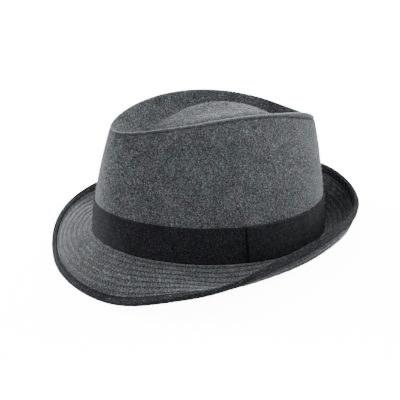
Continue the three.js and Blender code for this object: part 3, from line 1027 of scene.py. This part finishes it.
# half width of the painted shade along the overlap's upright edge
TAB_PAINTED_SHADE = 0.8 * MM
tab_turn = np.linspace(TAB_FROM, TAB_TO, 121)
tab_grid = strip_grid(tab_turn, CLEARANCE + TAB_LIFT, 2 * CLEARANCE + RIBBON)
tab_painted_shade = dip((tab_turn - TAB_FROM) * FOOT_HALF_WIDTH, TAB_PAINTED_SHADE) + 0 * tab_grid[..., 0]
tab = cloth_piece("band_tab_cloth", on_table(tab_grid), tab_painted_shade, form="strip")
wear(tab, band_cloth, "band_cloth", "band_tab")

# %% [markdown]
# ## Nap
# Fibre ends stand out of wool cloth all over. Light that skims the cloth catches them, so the edges
# of a wool hat look soft and pale while its face stays dark. Each fibre end is a slim closed cone
# that leans over at random. Their places are drawn by area with a fixed seed, so every run gives
# the same nap, and they leave the stitched grooves bare. Tip and brim are seen at a slant, where
# thicker and sparser tufts show as the same grain, and the brim's are cropped short so that they
# don't hide its stitches.

# %% Places of the fibres
draws = np.random.default_rng(3)


def nap_roots(grid, density, bare):
    """Places spread by area, fewer where the cloth is bare, each with out, along and across."""
    down, side = grid[1:] - grid[:-1], np.roll(grid[:-1], -1, axis=1) - grid[:-1]
    face = np.cross(down, side).reshape(-1, 3)
    area = np.linalg.norm(face, axis=1)
    share = area * (1 - np.broadcast_to(bare, grid.shape[:2])[:-1].ravel())
    quad = draws.choice(len(area), int(area.sum() * density), p=share / share.sum())
    down, side = down.reshape(-1, 3)[quad], side.reshape(-1, 3)[quad]
    a, b = draws.random((2, len(quad), 1))
    out = face[quad] / area[quad, None]
    along = down / np.linalg.norm(down, axis=1, keepdims=True)
    root = grid[:-1].reshape(-1, 3)[quad] + a * down + b * side
    return root, out, along, np.cross(out, along)


# %% Fibre ends
FIBRE_RADIUS = 0.045 * MM
TUFT_RADIUS = 0.11 * MM
FIBRE_SHORT, FIBRE_LONG = 0.8 * MM, 2.2 * MM
FIBRE_ROOT = 0.1 * MM
LEAN_LEAST, LEAN_MOST = math.radians(35), math.radians(80)


def nap(name, grid, cloth, slot, density, bare=0.0, radius=FIBRE_RADIUS, cropped=1.0):
    """Cones from three points round the root, sunk in the cloth, to one point at the end."""
    root, out, along, across = nap_roots(on_table(grid), density, bare)
    count = len(root)
    lean = draws.uniform(LEAN_LEAST, LEAN_MOST, (count, 1))
    turn = draws.uniform(0, 2 * np.pi, (count, 1))
    length = cropped * draws.uniform(FIBRE_SHORT, FIBRE_LONG, (count, 1))
    level = along * np.cos(turn) + across * np.sin(turn)
    end = root + length * (out * np.cos(lean) + level * np.sin(lean))
    third = 2 * np.pi / 3 * np.arange(3)[:, None]
    ring = radius * (along[:, None] * np.cos(third) + across[:, None] * np.sin(third))
    points = np.concatenate([(root - FIBRE_ROOT * out)[:, None] + ring, end[:, None]], axis=1)
    points[..., 2] = np.maximum(points[..., 2], 0)
    cone = np.array([(0, 2, 1), (0, 1, 3), (1, 2, 3), (2, 0, 3)])
    triangles = (cone + 4 * np.arange(count)[:, None, None]).reshape(-1, 3)
    made = finish_mesh(name, points.reshape(-1, 3), np.zeros((0, 4), int), np.zeros((0, 4), complex),
                       triangles, np.zeros(triangles.shape, complex), None)
    wear(made, cloth, slot)


# %% Four shades of nap
SPECKLE = 500  # blobs in a metre


def fibre_cloth(name, dark, middle, light):
    """Greys from noise a little coarser than the fibres' spacing, dark through middle to light."""
    made, tree, shader = finish(name, 0.9, 0.0, 0.3, (1, 1, 1, 1))
    place = node(tree, "ShaderNodeTexCoord").outputs["Object"]
    greys = ramp(tree, grain(tree, place, SPECKLE, 2), (0.4, dark), (0.5, middle), (0.6, light))
    tree.links.new(greys, shader.inputs["Base Color"])
    return made


binding_nap = fibre_cloth("binding_nap", (0.004, 0.004, 0.005), (0.012, 0.012, 0.014),
                          (0.15, 0.15, 0.165))
wool_nap = fibre_cloth("wool_nap", (0.014, 0.014, 0.016), (0.1, 0.103, 0.11), (0.32, 0.33, 0.35))
wool_tufts = fibre_cloth("wool_tufts", (0.006, 0.006, 0.007), (0.06, 0.061, 0.067),
                         (0.36, 0.37, 0.39))
band_nap = fibre_cloth("band_nap", (0.003, 0.003, 0.004), (0.01, 0.01, 0.012), (0.12, 0.12, 0.13))
print("shades of nap:", [m.name for m in (binding_nap, wool_nap, wool_tufts, band_nap)])

# %% Nap on every cloth
WOOL_FIBRES, TUFTS, BAND_FIBRES = 0.8e6, 0.5e6, 0.3e6  # in a square metre of cloth
CROPPED = 0.4  # share of the usual length

side_outside = side_grid[len(side_grid) // 2:]
nap("crown_side_nap", side_outside, wool_nap, "wool_cloth", WOOL_FIBRES)
nap("crown_tip_nap", tip_grid[TIP_TOP:], wool_tufts, "wool_cloth", TUFTS, radius=TUFT_RADIUS)

brim_top, brim_under = np.split(brim_points, 2)
groove_bare = np.clip(4 * brim_painted_shade[:len(brim_top)], 0, 1)
nap("brim_top_nap", brim_top, wool_tufts, "wool_cloth", TUFTS, groove_bare, TUFT_RADIUS, CROPPED)
nap("brim_under_nap", brim_under, wool_tufts, "wool_cloth", TUFTS, groove_bare[::-1],
    TUFT_RADIUS, CROPPED)

band_outside = band_grid[len(band_grid) // 2:]
nap("binding_nap", binding_points[:BINDING_OUTSIDE], binding_nap, "binding_cloth", WOOL_FIBRES)
nap("band_nap", band_outside, band_nap, "band_cloth", BAND_FIBRES)

# %% [markdown]
# ## Floor and light
# A studio for a dark hat: even pale surroundings, a low soft light on each side and a little
# behind, so that both edges of the crown glow, one high at the back for the tip, and only a faint
# one in front, so that the middle of the crown stays dark and shows its shape. The floor glows for
# the camera alone: it looks nearly white and throws no light up at the hat.

# %% Floor
FLOOR_HALF = 6.0
FLOOR_GLOW = 12.0

floor_corners = [(-FLOOR_HALF, -FLOOR_HALF, 0), (FLOOR_HALF, -FLOOR_HALF, 0),
                 (FLOOR_HALF, FLOOR_HALF, 0), (-FLOOR_HALF, FLOOR_HALF, 0)]
floor_mesh = bpy.data.meshes.new("floor")
floor_mesh.from_pydata(floor_corners, [], [(0, 1, 2, 3)])
floor = bpy.data.objects.new("floor", floor_mesh)
bpy.context.scene.collection.objects.link(floor)
floor_paint = bpy.data.materials.new("pale_floor")
floor_paint.use_nodes = True
floor_shader = floor_paint.node_tree.nodes["Principled BSDF"]
floor_shader.inputs["Base Color"].default_value = (0.85, 0.85, 0.85, 1)
floor_shader.inputs["Emission Color"].default_value = (1, 1, 1, 1)
floor_shader.inputs["Emission Strength"].default_value = FLOOR_GLOW
floor_shader.inputs["Roughness"].default_value = 0.9
floor_shader.inputs["Specular IOR Level"].default_value = 0.1
floor_mesh.materials.append(floor_paint)
floor.visible_diffuse = floor.visible_glossy = False
print("width of the floor in metres:", 2 * FLOOR_HALF)

# %% Lights
LIT_POINT = np.array([0, 0, 60 * MM])
LIGHT_DISTANCE = 1.4
LIGHT_SIZE = 0.8
SURROUNDINGS = 2.4


def softbox(name, from_camera, elevation, watts):
    """Square area light, turned from the camera's side by degrees, aimed at the crown."""
    turn, rise = math.radians(CAMERA_DEGREES + from_camera), math.radians(elevation)
    away = np.array([math.sin(turn) * math.cos(rise), -math.cos(turn) * math.cos(rise),
                     math.sin(rise)])
    side = np.array([math.cos(turn), math.sin(turn), 0])
    axes = np.array([side, np.cross(away, side), away])
    matrix = Matrix([list(row) for row in axes.T]).to_4x4()
    matrix.translation = (LIT_POINT + away * LIGHT_DISTANCE).tolist()
    data = bpy.data.lights.new(name, "AREA")
    data.size, data.energy = LIGHT_SIZE, watts
    light = bpy.data.objects.new(name, data)
    light.matrix_world = matrix
    bpy.context.scene.collection.objects.link(light)


softbox("left_light", -120, 15, 92)
softbox("right_light", 120, 15, 62)
softbox("back_light", 150, 45, 20)
softbox("front_light", 60, 20, 8)

world = bpy.data.worlds.new("studio")
world.use_nodes = True
sky = world.node_tree.nodes["Background"]
sky.inputs["Color"].default_value = (1, 1, 1, 1)
sky.inputs["Strength"].default_value = SURROUNDINGS
bpy.context.scene.world = world
